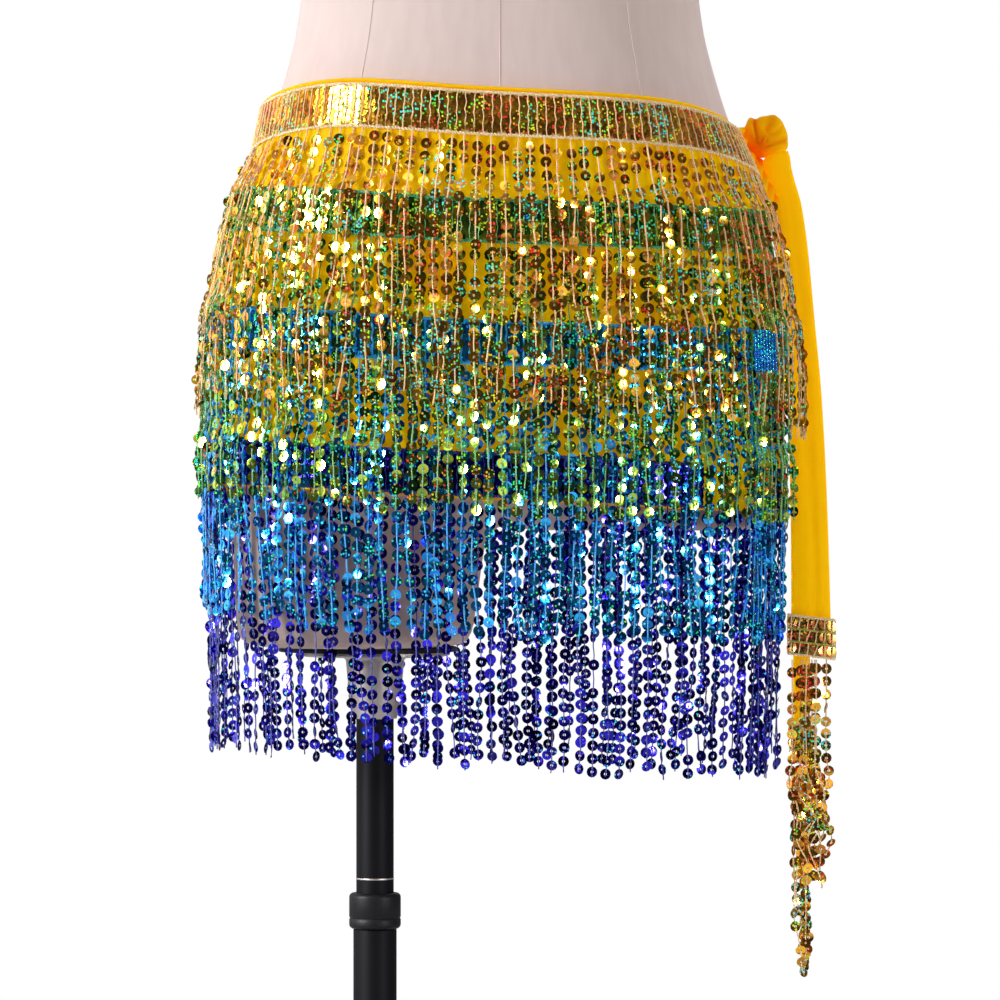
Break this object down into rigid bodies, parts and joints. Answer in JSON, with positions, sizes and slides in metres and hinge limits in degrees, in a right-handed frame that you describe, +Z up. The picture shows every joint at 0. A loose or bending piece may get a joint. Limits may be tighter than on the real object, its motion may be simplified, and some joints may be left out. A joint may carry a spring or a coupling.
{
  "type": "belly dance hip belt on dress form",
  "caption": "Wrap hip belt with tiers of sequin trim and fringe, tied at one side, worn on a limbless dress form on a pole stand.",
  "frame": {"origin": "on the floor, on the pole's axis, at the middle of the base's underside", "axes": "+Z up along the pole, -Y out of the form's front, +X towards the side where the belt is knotted"},
  "size_m": [0.4778, 0.4, 1.476],
  "materials": {
    "canvas": "plain woven canvas over moulded foam, matte",
    "black_metal": "black enamel, semi-gloss, chipped",
    "black_plastic": "moulded, satin",
    "pale_steel": "satin, slightly warm",
    "yellow_chiffon": "fine sheer weave with a soft sheen",
    "gold_sequins": "hologram foil sequins on thread",
    "green_sequins": "hologram foil sequins on thread",
    "turquoise_sequins": "hologram foil sequins on thread",
    "blue_sequins": "hologram foil sequins on thread"
  },
  "bodies": {
    "root": {"base": "black_metal", "pole_lower": "black_metal", "pole_collar": "black_plastic", "pole_upper": "black_metal", "pole_socket": "pale_steel", "thigh_plate": "black_plastic", "form_body": "canvas", "skirt_panel": "yellow_chiffon", "knot": "yellow_chiffon", "tie_front": "yellow_chiffon", "tie_back": "yellow_chiffon", "tail_front": "yellow_chiffon", "tail_back": "yellow_chiffon", "waist_trim_gold": "gold_sequins", "trim_green": "green_sequins", "trim_turquoise": "turquoise_sequins", "trim_blue": "blue_sequins", "fringe_gold": "gold_sequins", "fringe_green": "green_sequins", "fringe_turquoise": "turquoise_sequins", "fringe_blue": "blue_sequins", "tail_trim_front": "gold_sequins", "tail_trim_back": "gold_sequins", "tail_fringe_front": "gold_sequins", "tail_fringe_back": "gold_sequins"}
  },
  "joints": []
}
